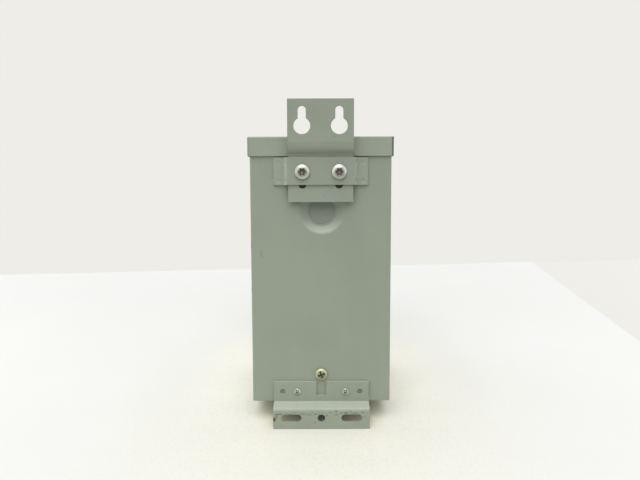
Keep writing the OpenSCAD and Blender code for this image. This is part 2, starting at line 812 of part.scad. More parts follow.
// Round wire of diameter d that rises from z0, bends over and comes down to z1
module wire(k, way, d, z0, z1) {
    y = mid_y + way * lead_y;
    translate([lead_x(k), y, z0]) cylinder(d = d, h = bend_z - z0);
    translate([lead_x(k), y - way * lead_r, bend_z]) rotate([90, 0, 90])
        rotate_extrude(angle = 180) translate([lead_r, 0]) circle(d = d);
    translate([lead_x(k), y - 2 * way * lead_r, z1]) cylinder(d = d, h = bend_z - z1);
}

// Insulation of lead k
module lead(k, way) {
    if (k < lead_count) color(way > 0 ? "black" : "white") difference() {
        wire(k, way, lead_d, lead_z, bend_z - lead_tail + bare_l);
        wire(k, way, strand_d, lead_z - 1, bend_z - lead_tail - 1);
    }
}

// Stranded conductors of all the leads, bare at their ends
module lead_conductors() {
    color(copper) for (way = [-1, 1], k = [0:lead_count - 1])
        wire(k, way, strand_d, lead_z, bend_z - lead_tail);
}

// Ground stud, welded to the inside of the left wall
stud_y = inner_y + stud_back;
stud_z = top_z - stud_drop;
module rod_in(d, x0, x1) {
    translate([-inner_x + x0, stud_y, stud_z]) rotate([0, 90, 0]) cylinder(d = d, h = x1 - x0);
}
module ground_stud() {
    color(zinc) rod_in(stud_d, 0, stud_l);
}
module ground_washer() {
    color(zinc) difference() {
        rod_in(2.2 * stud_d, 0, washer_t);
        rod_in(stud_d + 2 * fit, -1, washer_t + 1);
    }
}
module ground_nut() {
    color("seagreen") difference() {
        translate([-inner_x + washer_t, stud_y, stud_z]) rotate([0, 90, 0])
            cylinder(d = 1.7 * stud_d / cos(30), h = stud_nut_t, $fn = 6);
        rod_in(stud_d + 2 * fit, washer_t - 1, washer_t + stud_nut_t + 1);
    }
}

// Resin poured around the core and coil, up to the wiring compartment
module resin_fill() {
    color([0.24, 0.24, 0.25]) difference() {
        translate([0, 0, bottom_z + sheet]) linear_extrude(resin_z - bottom_z - sheet)
            inside_plan();
        front_panel();
        bottom_pan();
        bracket_rivets();
        core_screw();
        core_foot();
        for (x = [-1, 1] * bolt_x) rod_y(x, bolt_levels[0], bolt_d + 2 * fit, core_back_y - foot_t,
            core_back_y + 1);
        block([-3 * lamination, core_back_y, core_z],
            [3 * lamination, core_front_y, core_z + 5 * lamination]);
        leg_ring(0, tape_out, former_z, former_h);
        core_bolts();
        core_nuts();
        for (way = [-1, 1], k = [0:lead_count - 1])
            wire(k, way, lead_d, lead_z, bend_z);
    }
}

case_wrap();
front_panel();
bottom_pan();
cover();
cover_screws();
cover_nuts();
strap();
upper_bracket();
strap_screws();
lower_bracket();
bracket_rivets();
core_screw();
core_e_stack();
core_i_stack();
core_foot();
core_bolts();
core_nuts();
coil_former();
primary_winding();
winding_barrier();
secondary_winding();
coil_tape();
resin_fill();
lead(0, 1);  // lead_h1
lead(1, 1);  // lead_h2
lead(2, 1);  // lead_h3
lead(3, 1);  // lead_h4
lead(0, -1);  // lead_x1
lead(1, -1);  // lead_x2
lead(2, -1);  // lead_x3
lead(3, -1);  // lead_x4
lead_conductors();
ground_stud();
ground_washer();
ground_nut();
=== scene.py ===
import math
import bpy
import numpy as np
from mathutils import Euler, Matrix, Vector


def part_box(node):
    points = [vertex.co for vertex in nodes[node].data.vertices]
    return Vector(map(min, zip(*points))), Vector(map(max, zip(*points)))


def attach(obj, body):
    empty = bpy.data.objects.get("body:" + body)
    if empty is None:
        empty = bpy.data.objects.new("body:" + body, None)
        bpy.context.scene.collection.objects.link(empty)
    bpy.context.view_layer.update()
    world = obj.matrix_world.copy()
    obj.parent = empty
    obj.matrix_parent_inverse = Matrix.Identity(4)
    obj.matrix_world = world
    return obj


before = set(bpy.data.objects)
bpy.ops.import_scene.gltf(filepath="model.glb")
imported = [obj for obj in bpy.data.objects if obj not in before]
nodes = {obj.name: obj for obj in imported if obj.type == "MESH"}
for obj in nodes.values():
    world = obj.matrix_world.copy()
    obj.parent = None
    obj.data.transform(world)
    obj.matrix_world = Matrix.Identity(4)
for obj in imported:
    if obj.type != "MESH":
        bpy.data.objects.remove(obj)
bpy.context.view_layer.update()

mm = 0.001
print("the packed model is loaded,", len(nodes), "nodes")


# ---- numbers that come back in several pieces: where the wall, the case and the holes are

def corner(node, side):  # one corner of a node's box, as an array in metres
    return np.array(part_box(node)[side])


caseLow, caseHigh = corner("case_wrap", 0), corner("case_wrap", 1)
backY = caseLow[1]  # outer face of the back wall
frontY = caseHigh[1]  # front edges of the side walls
bottomZ = caseLow[2]
plateLow, plateHigh = corner("upper_bracket", 0), corner("upper_bracket", 1)
bracketLow, bracketHigh = corner("lower_bracket", 0), corner("lower_bracket", 1)


# ---- materials: sums on sockets

class Value:  # wraps one output; a sum written with it adds the Math nodes
    def __init__(self, finish, socket):
        self.finish, self.socket = finish, socket

    def calc(self, operation, *others, clamp=False):
        return self.finish.node("ShaderNodeMath", {"operation": operation, "use_clamp": clamp},
                                dict(enumerate((self,) + others)))

    def __add__(self, other):
        return self.calc("ADD", other)

    def __sub__(self, other):
        return self.calc("SUBTRACT", other)

    def __mul__(self, other):
        return self.calc("MULTIPLY", other)

    def __truediv__(self, other):
        return self.calc("DIVIDE", other)

    def __pow__(self, other):
        return self.calc("POWER", other)

    def __rsub__(self, other):
        return self.finish.node("ShaderNodeMath", {"operation": "SUBTRACT"}, {0: other, 1: self})

    def __rtruediv__(self, other):
        return self.finish.node("ShaderNodeMath", {"operation": "DIVIDE"}, {0: other, 1: self})

    def __neg__(self):
        return self * -1.0

    def __abs__(self):
        return self.calc("ABSOLUTE")

    __radd__ = __add__
    __rmul__ = __mul__

    def ease(self, low, high):  # 0 below low, 1 above high, smooth between; low may be the larger
        return self.finish.node("ShaderNodeMapRange", {"interpolation_type": "SMOOTHSTEP"},
                                {"Value": self, "From Min": low, "From Max": high})


class Finish:  # one material and its tree
    def __init__(self, name):
        self.material = bpy.data.materials.new(name)
        self.material.use_nodes = True
        self.tree = self.material.node_tree
        self.tree.nodes.clear()
        self.place = self.node("ShaderNodeTexCoord", {}, {}, "Object")
        axes = self.node("ShaderNodeSeparateXYZ", {}, {0: self.place}, None)
        self.x, self.y, self.z = [Value(self, axes.outputs[k]) for k in range(3)]

    def node(self, kind, settings, inputs, out=0):  # settings first, then values or links
        made = self.tree.nodes.new(kind)
        for key, setting in settings.items():
            if key == "stops":
                for k, (at, colour) in enumerate(setting):
                    stop = made.color_ramp.elements[k] if k < 2 else made.color_ramp.elements.new(at)
                    stop.position, stop.color = at, colour
            else:
                setattr(made, key, setting)
        for key, given in inputs.items():
            if isinstance(given, Value):
                self.tree.links.new(given.socket, made.inputs[key])
            else:
                made.inputs[key].default_value = given
        return made if out is None else Value(self, made.outputs[out])

    def noise(self, scale, detail=2.0, rough=0.5, at=None, warp=0.0):  # about 0 to 1, middle 0.5
        return self.node("ShaderNodeTexNoise", {}, {"Vector": at or self.place, "Scale": scale,
                         "Detail": detail, "Roughness": rough, "Distortion": warp})

    def blend(self, share, first, second):  # colour mix
        return self.node("ShaderNodeMix", {"data_type": "RGBA"}, {0: share, 6: first, 7: second}, 2)

    def stretched(self, x, y, z):  # Object coordinates scaled by axis
        return self.node("ShaderNodeVectorMath", {"operation": "MULTIPLY"}, {0: self.place, 1: (x, y, z)})

    def most(self, masks):
        top = masks[0]
        for mask in masks[1:]:
            top = top.calc("MAXIMUM", mask)
        return top

    def spots(self, marks, ragged=0.5, scale=900.0):  # marks: centre x, z and half sizes in mm, strength
        wobble = (self.noise(scale, 3.0, 0.6) - 0.5) * (2.0 * ragged)
        found = []
        for x, z, wide, high, strength in marks:
            across, up = (self.x - x * mm) / (wide * mm), (self.z - z * mm) / (high * mm)
            reach = (across * across + up * up).calc("SQRT") + wobble
            found.append(reach.ease(1.0, 0.55) * strength)
        return self.most(found)

    def close(self, colour, roughness, height=None, reach=0.0, metal=0.0, soften=0.0, **plain):
        facing = {}
        if soften:
            facing = {"Normal": self.node("ShaderNodeBevel", {"samples": 6}, {"Radius": soften * mm})}
        if height is not None:
            facing = {"Normal": self.node("ShaderNodeBump", {}, {"Height": height, "Distance": reach * mm,
                                          "Strength": 1.0, **facing})}
        inputs = {"Base Color": colour, "Roughness": roughness, "Metallic": metal, **facing}
        inputs.update({key.replace("_", " "): given for key, given in plain.items()})
        shader = self.node("ShaderNodeBsdfPrincipled", {}, inputs)
        self.node("ShaderNodeOutputMaterial", {}, {"Surface": shader}, None)
        return self.material


def tone(red, green, blue):  # a colour as a screen shows it, 0 to 255, made linear
    shares = np.array([red, green, blue]) / 255.0
    line = np.where(shares <= 0.04045, shares / 12.92, ((shares + 0.055) / 1.055) ** 2.4)
    return (*line.tolist(), 1.0)


def dress(material, *names):  # the material goes into every slot of the nodes
    for name in names:
        slots = nodes[name].data.materials
        if not len(slots):
            slots.append(material)
        for k in range(len(slots)):
            slots[k] = material


# ---- paint of the case and its brackets

paint = {
    "light": (149, 157, 142), "dark": (143, 151, 136),  # slow change of shade over the sheet
    "pale": (166, 174, 161), "dull": (134, 141, 128),  # on and round a weld spot; pale is also painted light on the plate's bend and the strap's wings, dull also painted shade on the knockout slug
    "worn": (104, 110, 98), "rust": (112, 84, 54), "sootAndShade": (66, 60, 44), "dirt": (88, 90, 76),
    # worn, above, also gives painted shade in the plate's crease; the first tone on the next line is dust and painted
    # light on faces that look up; bright is painted light on the dish's low wall and the strap's risers
    "dustAndTopLight": (192, 194, 182), "bright": (174, 182, 169),
    "roughness": 0.48, "gloss": 0.36, "orangePeel": 620.0, "peelHeight": 0.022, "edgeRadius": 0.25,
}


def paintBase(finish, paintedLight=0):  # shade, roughness and height of clean paint; the last argument makes it paler, which is painted light
    cloud = finish.noise(14.0, 3.0, 0.55)
    streak = finish.noise(60.0, 2.0, 0.5, finish.stretched(1.0, 1.0, 0.25))
    share = (cloud * 0.7 + streak * 0.3).ease(0.3, 0.7)
    dark, light = [tone(red + paintedLight, green + paintedLight, blue + paintedLight)
                   for red, green, blue in (paint["dark"], paint["light"])]
    shade = finish.blend(share, dark, light)
    normal = finish.node("ShaderNodeNewGeometry", {}, {}, "Normal")
    facing = finish.node("ShaderNodeSeparateXYZ", {}, {0: normal}, "Z")
    dustAndTopLight = facing.ease(0.4, 0.95) * finish.noise(130.0, 4.0, 0.6).ease(-0.7, 0.9)  # dust and painted light: paler on faces that look up
    shade = finish.blend(dustAndTopLight * 0.38, shade, tone(*paint["dustAndTopLight"]))
    peel = finish.noise(paint["orangePeel"], 2.0, 0.45)
    fine = finish.noise(3200.0, 1.0, 0.5)
    rough = (cloud - 0.5) * 0.10 + (fine - 0.5) * 0.08 + paint["roughness"]
    return shade, rough, peel + fine * 0.25


def closePaint(finish, shade, rough, height):
    return finish.close(shade, rough, height, paint["peelHeight"], soften=paint["edgeRadius"],
                        Specular_IOR_Level=paint["gloss"])


def casePaint():
    wear = {
        "scuffs": [(-50.3, -104.6, 0.9, 3.4, 0.55), (-49.6, -107.0, 0.5, 1.6, 0.4)],
        "edges": [(-59.0, -97.3, 0.9, 6.0, 0.9), (-59.0, -135.0, 0.8, 3.0, 0.9), (59.0, -108.0, 0.7, 2.6, 0.6)],
        "weldPitch": 30.0, "weldRadius": 2.0,
        "dish": (0.8, -68.8), "slug": 11.1, "rim": 20.0, "ring": 0.9,
    }
    finish = Finish("caseEnamel")
    shade, rough, height = paintBase(finish)
    back = finish.y.ease((backY + 3.2 * mm), (backY + 2.2 * mm))  # marks stay on the wall side
    scuff = finish.spots(wear["scuffs"], 0.7, 1400.0) * back
    edge = finish.spots(wear["edges"], 0.5, 700.0) * back
    bend = abs(finish.x).ease(57.0 * mm, 58.6 * mm) * back
    chips = bend * finish.noise(420.0, 4.0, 0.6).ease(0.66, 0.72)
    low = finish.z.ease(bottomZ + 2.0 * mm, bottomZ + 0.4 * mm)
    rub = low * finish.noise(300.0, 4.0, 0.65).ease(0.58, 0.68)
    shade = finish.blend(scuff * 0.6, shade, tone(*paint["worn"]))
    shade = finish.blend(finish.most([edge, chips, rub * 0.6]), shade, tone(*paint["dirt"]))
    across, up = finish.x - wear["dish"][0] * mm, finish.z - wear["dish"][1] * mm
    fromDish = (across * across + up * up).calc("SQRT")
    dishBack = finish.y.ease(backY + 8.0 * mm, backY + 6.0 * mm)
    # painted shade: the knockout slug, in the plate's shadow, is darker
    slug = fromDish.ease((wear["slug"] + 0.2) * mm, (wear["slug"] - 0.2) * mm) * dishBack
    # painted light on the dish's lower wall, which faces up
    lowWallLight = fromDish.ease((wear["slug"] + 1.2) * mm, (wear["slug"] + 2.6) * mm) * up.ease(-5.0 * mm, -18.0 * mm)
    lowWallLight = lowWallLight * fromDish.ease(wear["rim"] * mm, (wear["rim"] - 3.0) * mm) * dishBack
    rings = fromDish.calc("PINGPONG", wear["ring"] * mm) / (wear["ring"] * mm)  # drawn marks of the press, which vary the painted light on the low wall
    shade = finish.blend(slug * 0.7, shade, tone(*paint["dull"]))
    shade = finish.blend(lowWallLight * (rings * 0.25 + 0.75), shade, tone(*paint["bright"]))
    side = abs(finish.x).ease(58.4 * mm, 58.9 * mm)  # rings that spot welds leave in the side walls
    step = finish.z.calc("PINGPONG", wear["weldPitch"] * mm)
    across = finish.y - (frontY - 5.0 * mm)
    reach = (step * step + across * across).calc("SQRT")
    dent = reach.ease(wear["weldRadius"] * 1.3 * mm, wear["weldRadius"] * mm) * side
    rim = dent - reach.ease(wear["weldRadius"] * mm, 0.6 * wear["weldRadius"] * mm) * side * 0.7
    return closePaint(finish, shade, rough + scuff * 0.15, height - rim * 6.0)


def coverPaint():
    finish = Finish("coverEnamel")
    # painted light: the cover's paint is made paler by six levels
    shade, rough, height = paintBase(finish, 6)
    # darker cut edge of the right side flange: bare steel and painted shade of the corner seam
    sideCut = abs(finish.x).ease(59.2 * mm, 59.35 * mm) * finish.y.ease(backY + 0.2 * mm, backY - 0.2 * mm)
    rawEdgeShade = sideCut * finish.x.ease(0.0, 0.001)
    coverLow, coverHigh = corner("cover", 0), corner("cover", 1)
    lipZ = coverHigh[2] - 16.1 * mm
    skirt = finish.y.ease(coverHigh[1] - 17.0 * mm, coverHigh[1] - 15.5 * mm)  # the front part that runs lower
    lip = abs(finish.z - lipZ).ease(0.8 * mm, 0.1 * mm) * (1 - skirt)
    hem = finish.z.ease(coverLow[2] + 0.8 * mm, coverLow[2] + 0.1 * mm)
    chips = finish.most([lip, hem]) * finish.noise(500.0, 4.0, 0.6).ease(0.60, 0.70)
    shade = finish.blend(rawEdgeShade * 0.8, shade, tone(*paint["worn"]))
    shade = finish.blend(chips * 0.7, shade, tone(*paint["dirt"]))
    return closePaint(finish, shade, rough, height)


def platePaint():
    wear = {
        "marks": [(11.0, -8.6, 1.6, 0.7, 0.35), (-22.0, -16.0, 2.4, 0.6, 0.3), (22.4, 3.0, 0.5, 3.0, 0.35),
                  (-24.0, 15.0, 0.6, 2.0, 0.3), (3.0, -56.0, 2.2, 0.5, 0.3)],
        "row": -36.6, "half": 15.1, "shoulder": -16.6, "creaseShade": -22.4,
    }
    finish = Finish("plateEnamel")
    # painted light: the plate's paint is made one level paler
    shade, rough, height = paintBase(finish, 1)
    smear = finish.spots(wear["marks"], 0.8, 800.0)
    side = abs(finish.x).ease(plateHigh[0] - 0.5 * mm, plateHigh[0] - 0.05 * mm)
    top = finish.z.ease(plateHigh[2] - 0.5 * mm, plateHigh[2] - 0.05 * mm)
    chips = finish.most([side, top]) * finish.noise(360.0, 4.0, 0.62).ease(0.60, 0.68)
    near = finish.node("ShaderNodeCombineXYZ", {}, {0: abs(finish.x) - wear["half"] * mm, 1: 0.0, 2: finish.z})
    ring = finish.node("ShaderNodeVectorMath", {"operation": "LENGTH"}, {0: near}, "Value")
    rubbed = ring.ease(8.0 * mm, 7.0 * mm) * finish.noise(500.0, 4.0, 0.6).ease(0.60, 0.68)
    shoulder = abs(finish.z - wear["shoulder"] * mm).ease(3.2 * mm, 1.0 * mm)  # painted light on the bend's shoulder
    creaseShade = abs(finish.z - wear["creaseShade"] * mm).ease(3.0 * mm, 1.2 * mm)  # painted shade in the bend's crease
    shade = finish.blend(shoulder * 0.55, shade, tone(*paint["pale"]))
    shade = finish.blend(creaseShade * 0.2, shade, tone(*paint["worn"]))
    shade = finish.blend(smear * 0.6, shade, tone(*paint["worn"]))
    shade = finish.blend(finish.most([chips, rubbed * 0.7]), shade, tone(*paint["dirt"]))
    return closePaint(finish, shade, rough, height)


def strapPaint():
    wear = {"half": 15.1, "row": -36.6, "turned": 6.2, "weld": (35.7, 7.5), "spot": 2.1, "wing": 28.5,
            "riser": 29.0}
    finish = Finish("strapEnamel")
    shade, rough, height = paintBase(finish)
    near = finish.node("ShaderNodeCombineXYZ", {}, {0: abs(finish.x) - wear["half"] * mm, 1: 0.0,
                       2: finish.z - wear["row"] * mm})
    ring = finish.node("ShaderNodeVectorMath", {"operation": "LENGTH"}, {0: near}, "Value")
    turned = ring.ease((wear["turned"] + 0.9) * mm, (wear["turned"] + 0.2) * mm)
    scraped = turned * finish.noise(900.0, 4.0, 0.6).ease(0.5, 0.62)  # where the screw heads turned
    ends = abs(finish.x).ease(38.6 * mm, 39.15 * mm) * finish.noise(400.0, 4.0, 0.6).ease(0.58, 0.66)
    spot = finish.node("ShaderNodeCombineXYZ", {}, {0: abs(finish.x) - wear["weld"][0] * mm, 1: 0.0,
                       2: abs(finish.z - wear["row"] * mm) - wear["weld"][1] * mm})
    fromSpot = finish.node("ShaderNodeVectorMath", {"operation": "LENGTH"}, {0: spot}, "Value")
    dimple = fromSpot.ease((wear["spot"] + 0.4) * mm, (wear["spot"] - 0.6) * mm)
    halo = fromSpot.ease((wear["spot"] + 1.6) * mm, (wear["spot"] + 0.2) * mm) - dimple
    wing = abs(finish.x).ease(wear["wing"] * mm, (wear["wing"] + 1.5) * mm)  # painted light: the wings are made paler
    # painted light on the strap's risers, stronger on the left one
    riser = abs(abs(finish.x) - wear["riser"] * mm).ease(1.4 * mm, 0.7 * mm)
    riser = riser * (finish.x.ease(1.0 * mm, -1.0 * mm) * 0.45 + 0.4)
    shade = finish.blend(finish.most([dimple * 0.45, wing * 0.35]), shade, tone(*paint["pale"]))
    shade = finish.blend(halo * 0.15, shade, tone(*paint["dull"]))
    shade = finish.blend(riser, shade, tone(*paint["bright"]))
    shade = finish.blend(finish.most([scraped * 0.8, ends]), shade, tone(*paint["dirt"]))
    return closePaint(finish, shade, rough, height - dimple * 2.5)


def bracketPaint():
    wear = {
        "chips": [(-5.1, -239.2, 1.2, 0.9, 1.0), (12.5, -236.7, 1.1, 1.0, 0.9), (20.6, -238.1, 2.4, 0.9, 0.8),
                  (-2.0, -239.8, 1.3, 0.8, 0.8), (4.4, -240.4, 0.9, 1.2, 0.8), (-37.2, -239.4, 2.4, 0.9, 0.85),
                  (-34.6, -239.2, 1.5, 1.1, 0.75), (34.7, -237.8, 1.3, 0.8, 0.8), (12.6, -239.8, 2.4, 0.7, 0.5),
                  (-16.0, -239.0, 3.6, 0.7, 0.6), (-27.5, -239.4, 5.2, 0.7, 0.55), (28.0, -238.4, 4.2, 0.7, 0.6),
                  (-5.4, -246.4, 0.9, 1.3, 0.5), (36.0, -241.6, 1.8, 0.9, 0.35), (-10.5, -239.6, 3.4, 0.7, 0.5),
                  (16.4, -238.6, 1.0, 0.8, 0.8), (24.6, -237.0, 0.8, 0.7, 0.8), (7.6, -237.4, 1.4, 0.6, 0.6),
                  (-7.4, -237.6, 0.8, 0.7, 0.7), (-22.6, -237.8, 0.9, 0.6, 0.6), (31.6, -240.0, 0.9, 0.8, 0.7)],
        "rust": [(-39.8, -243.8, 1.7, 2.3, 1.0), (-38.0, -241.4, 1.6, 1.6, 0.5)],
        "burnt": [(-40.2, -244.0, 0.8, 1.6, 1.0)],
    }
    finish = Finish("bracketEnamel")
    # painted light: the bracket's paint is made one level paler
    shade, rough, height = paintBase(finish, 1)
    front = finish.y.ease(3.4 * mm, 2.2 * mm)
    spots = finish.spots(wear["chips"], 0.55, 1100.0) * front
    rust = finish.spots(wear["rust"], 0.5, 1000.0) * front
    side = abs(finish.x).ease(bracketHigh[0] - 0.6 * mm, bracketHigh[0] - 0.05 * mm)
    low = finish.z.ease(bracketLow[2] + 0.6 * mm, bracketLow[2] + 0.05 * mm)
    chips = finish.most([side, low]) * finish.noise(330.0, 4.0, 0.62).ease(0.56, 0.66)
    shade = finish.blend(spots * 0.85, shade, tone(*paint["dirt"]))
    shade = finish.blend(chips * 0.8, shade, tone(*paint["dirt"]))
    shade = finish.blend(rust, shade, tone(*paint["rust"]))
    shade = finish.blend(finish.spots(wear["burnt"], 0.4, 1200.0) * front, shade, tone(*paint["sootAndShade"]))
    return closePaint(finish, shade, rough + rust * 0.3, height - spots * 1.5)


dress(casePaint(), "case_wrap", "front_panel", "bottom_pan")
dress(coverPaint(), "cover")
dress(platePaint(), "upper_bracket")
dress(strapPaint(), "strap")
dress(bracketPaint(), "lower_bracket")
print("the paint is on")


# ---- plated screws, studs and rivets

plating = {"zinc": (203, 204, 195), "dull": (180, 182, 174), "roughness": 0.32, "grain": 1600.0,
           "grainHeight": 0.006, "sootAndShade": (78, 74, 64), "grimeAndShade": (122, 120, 106)}


def recessShadeOf(finish, node, half, reach, depth=0.45, glow=0.0, grimeAndShade=0.7, rim=0.0):
    # painted shade in a round recess of each head, and a darker ring round it and at the rim
    low, high = corner(node, 0), corner(node, 1)
    across = abs(finish.x) - half * mm
    up = finish.z - 0.5 * float(low[2] + high[2])
    out = (across * across + up * up).calc("SQRT")
    inside = out.ease((reach + 0.1) * mm, (reach - 0.25) * mm)
    halo = out.ease((reach + grimeAndShade) * mm, (reach + 0.2 * grimeAndShade) * mm)
    if rim:
        halo = finish.most([halo, out.ease((rim - 0.5) * mm, rim * mm)])
    dark = inside * finish.y.ease(low[1] + 0.5 * depth * mm, low[1] + 1.4 * depth * mm)
    if glow:
        right, down = across - 0.1 * reach * mm, up + 0.2 * reach * mm  # painted highlight: the recess floor is left paler in a patch low on it
        paintedGlint = (right * right + down * down).calc("SQRT").ease(0.4 * reach * mm, 0.1 * reach * mm)
        dark = dark * (1 - paintedGlint * glow)
    return dark, halo


def slotShadeOf(finish, node, width, depth=0.3):  # painted shade in a straight slot that faces the front
    low, high = corner(node, 0), corner(node, 1)
    up = abs(finish.z - 0.5 * float(low[2] + high[2]))
    dark = up.ease((0.5 * width + 0.05) * mm, (0.5 * width - 0.1) * mm)
    return dark * finish.y.ease(high[1] - depth * mm, high[1] - 3 * depth * mm), up.ease(width * mm, 0.6 * width * mm)


def zincFinish(name, bright, dull, roughness, metal, dark=None):
    finish = Finish(name)
    cloud = finish.noise(260.0, 3.0, 0.6)
    grain = finish.noise(plating["grain"], 2.0, 0.6)
    shade = finish.blend(cloud.ease(0.35, 0.65), tone(*dull), tone(*bright))
    rough = grain * 0.16 + (roughness - 0.08)
    if dark:
        # painted shade: the head's recess darkened and a darker ring round it
        mask, halo = dark(finish)
        shade = finish.blend(halo * 0.7, shade, tone(*plating["grimeAndShade"]))
        shade = finish.blend(mask * 0.72, shade, tone(*plating["sootAndShade"]))
        rough = rough + mask * 0.25
    return finish.close(shade, rough, cloud * 0.4 + grain, plating["grainHeight"], metal=metal, soften=0.12)


def yellowFinish():
    tints = {"gold": (192, 188, 152), "green": (172, 178, 144), "rose": (188, 160, 146), "roughness": 0.4, "metal": 0.6}
    finish = Finish("yellowPlating")
    hue = finish.noise(190.0, 2.0, 0.5, warp=0.6)
    second = finish.noise(310.0, 2.0, 0.5, finish.stretched(1.3, 0.7, 1.0))
    shade = finish.blend(hue.ease(0.35, 0.62), tone(*tints["gold"]), tone(*tints["green"]))
    shade = finish.blend(second.ease(0.56, 0.75) * 0.7, shade, tone(*tints["rose"]))
    # painted shade in the cross recess and a darker ring round it and at the rim
    dark, halo = recessShadeOf(finish, "core_screw", 0.0, 3.2, rim=5.05)
    shade = finish.blend(halo * 0.6, shade, tone(*plating["grimeAndShade"]))
    shade = finish.blend(dark * 0.9, shade, tone(*plating["sootAndShade"]))
    grain = finish.noise(plating["grain"], 2.0, 0.6)
    return finish.close(shade, grain * 0.14 + dark * 0.2 + (tints["roughness"] - 0.07), grain,
                        plating["grainHeight"], metal=tints["metal"], soften=0.12)


def greenFinish():
    finish = Finish("greenPlating")
    cloud = finish.noise(220.0, 3.0, 0.6)
    shade = finish.blend(cloud, tone(38, 96, 58), tone(62, 130, 84))
    return finish.close(shade, cloud * 0.2 + 0.25, cloud, 0.006, metal=0.8, soften=0.12)


def plateMetal(name, dark=None, bright=plating["zinc"], dull=plating["dull"], roughness=plating["roughness"],
               metal=1.0):
    return zincFinish(name, bright, dull, roughness, metal, dark)


zinc = plateMetal("brightZinc")
# the thread's dark finish is oil and painted shade of the deep holes
threadShadeMetal = plateMetal("oiledThreadShade", None, (92, 90, 84), (60, 58, 52), 0.5)
rivetMetal = plateMetal("rivetMetal", lambda finish: recessShadeOf(finish, "bracket_rivets", 20.6, 1.4, 0.25, grimeAndShade=0.6, rim=3.0),
                        bright=(230, 231, 225), roughness=0.2)
dress(zinc, "cover_nuts", "core_bolts", "core_nuts", "ground_stud", "ground_washer")
dress(plateMetal("strapScrewZinc", lambda finish: recessShadeOf(finish, "strap_screws", 15.1, 3.4, glow=0.75, grimeAndShade=1.1),
                 (184, 186, 178), (164, 167, 159), 0.36, 0.85), "strap_screws")
dress(plateMetal("coverScrewZinc", lambda finish: slotShadeOf(finish, "cover_screws", 1.2)), "cover_screws")
dress(rivetMetal, "bracket_rivets")
dress(yellowFinish(), "core_screw")
dress(greenFinish(), "ground_nut")
print("the plating is on")


# ---- what is inside the case

def laminationFinish():
    stack = {"sheet": 0.5, "light": (92, 96, 104), "dark": (58, 60, 66)}
    finish = Finish("laminations")
    ply = finish.y.calc("PINGPONG", 0.5 * stack["sheet"] * mm) / (0.5 * stack["sheet"] * mm)
    groove = ply.ease(0.0, 0.3)
    rustle = finish.noise(180.0, 4.0, 0.6)
    shade = finish.blend(rustle.ease(0.3, 0.7), tone(*stack["dark"]), tone(*stack["light"]))
    shade = finish.blend((1 - groove) * 0.6, shade, tone(24, 24, 26))
    return finish.close(shade, rustle * 0.2 + 0.4, groove + rustle * 0.3, 0.05, metal=0.7, soften=0.1)


def wireFinish(name, wire):
    finish = Finish(name)
    turn = finish.z.calc("PINGPONG", 0.5 * wire["pitch"] * mm) / (0.5 * wire["pitch"] * mm)
    crown = (turn * math.pi * 0.5).calc("SINE")
    shade = finish.blend(finish.noise(120.0, 3.0, 0.6), tone(*wire["dark"]), tone(*wire["light"]))
    # painted shade in the valleys between turns
    shade = finish.blend((1 - crown) * 0.7, shade, tone(60, 30, 18))
    return finish.close(shade, 0.3, crown, wire["pitch"] * 0.4, metal=0.9)


def plainFinish(name, light, dark, roughness, scale=240.0, reach=0.02, **more):
    finish = Finish(name)
    cloud = finish.noise(scale, 4.0, 0.6)
    grain = finish.noise(scale * 9.0, 2.0, 0.6)
    shade = finish.blend(cloud.ease(0.3, 0.7), tone(*dark), tone(*light))
    return finish.close(shade, grain * 0.16 + (roughness - 0.08), cloud + grain * 0.5, reach, soften=0.15, **more)


dress(laminationFinish(), "core_e_stack", "core_i_stack")
dress(plainFinish("footSteel", (120, 122, 124), (92, 94, 98), 0.45, metal=0.9), "core_foot")
dress(wireFinish("primaryWire", {"pitch": 0.7, "light": (196, 112, 64), "dark": (150, 76, 42)}), "primary_winding")
dress(wireFinish("secondaryWire", {"pitch": 1.8, "light": (206, 124, 72), "dark": (164, 88, 50)}),
      "secondary_winding")
dress(wireFinish("strandedCopper", {"pitch": 0.5, "light": (210, 132, 84), "dark": (176, 98, 60)}), "lead_conductors")
dress(plainFinish("formerNylon", (222, 216, 198), (206, 199, 178), 0.5), "coil_former")
dress(plainFinish("barrierPaper", (198, 178, 132), (176, 152, 104), 0.7, 90.0), "winding_barrier")
dress(plainFinish("yellowTape", (214, 190, 92), (196, 168, 70), 0.35, 70.0), "coil_tape")
dress(plainFinish("castResin", (70, 71, 73), (44, 45, 47), 0.55, 420.0, 0.12), "resin_fill")
dress(plainFinish("leadBlack", (30, 30, 31), (20, 20, 21), 0.4, 160.0, 0.01), "lead_h1", "lead_h2", "lead_h3",
      "lead_h4")
dress(plainFinish("leadWhite", (226, 225, 218), (208, 207, 198), 0.4, 160.0, 0.01), "lead_x1", "lead_x2", "lead_x3",
      "lead_x4")
print("the inside is finished")


# ---- pieces worked out as surfaces

def gridPiece(name, points, material, aroundU=False, aroundV=False, inward=False):
    # points is a grid of places, rows by columns; each cell of the grid becomes one face
    rows, columns = points.shape[:2]
    index = np.arange(rows * columns).reshape(rows, columns)
    if aroundU:
        index = np.vstack([index, index[:1]])
    if aroundV:
        index = np.hstack([index, index[:, :1]])
    faces = np.stack([index[:-1, :-1], index[1:, :-1], index[1:, 1:], index[:-1, 1:]], -1).reshape(-1, 4)
    if inward:
        faces = faces[:, ::-1]
    mesh = bpy.data.meshes.new(name)
    mesh.from_pydata(points.reshape(-1, 3).tolist(), [], faces.tolist())
    mesh.polygons.foreach_set("use_smooth", np.ones(len(faces), bool))
    mesh.materials.append(material)
    mesh.update()
    piece = bpy.data.objects.new(name, mesh)
    bpy.context.scene.collection.objects.link(piece)
    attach(piece, "root")
    return piece


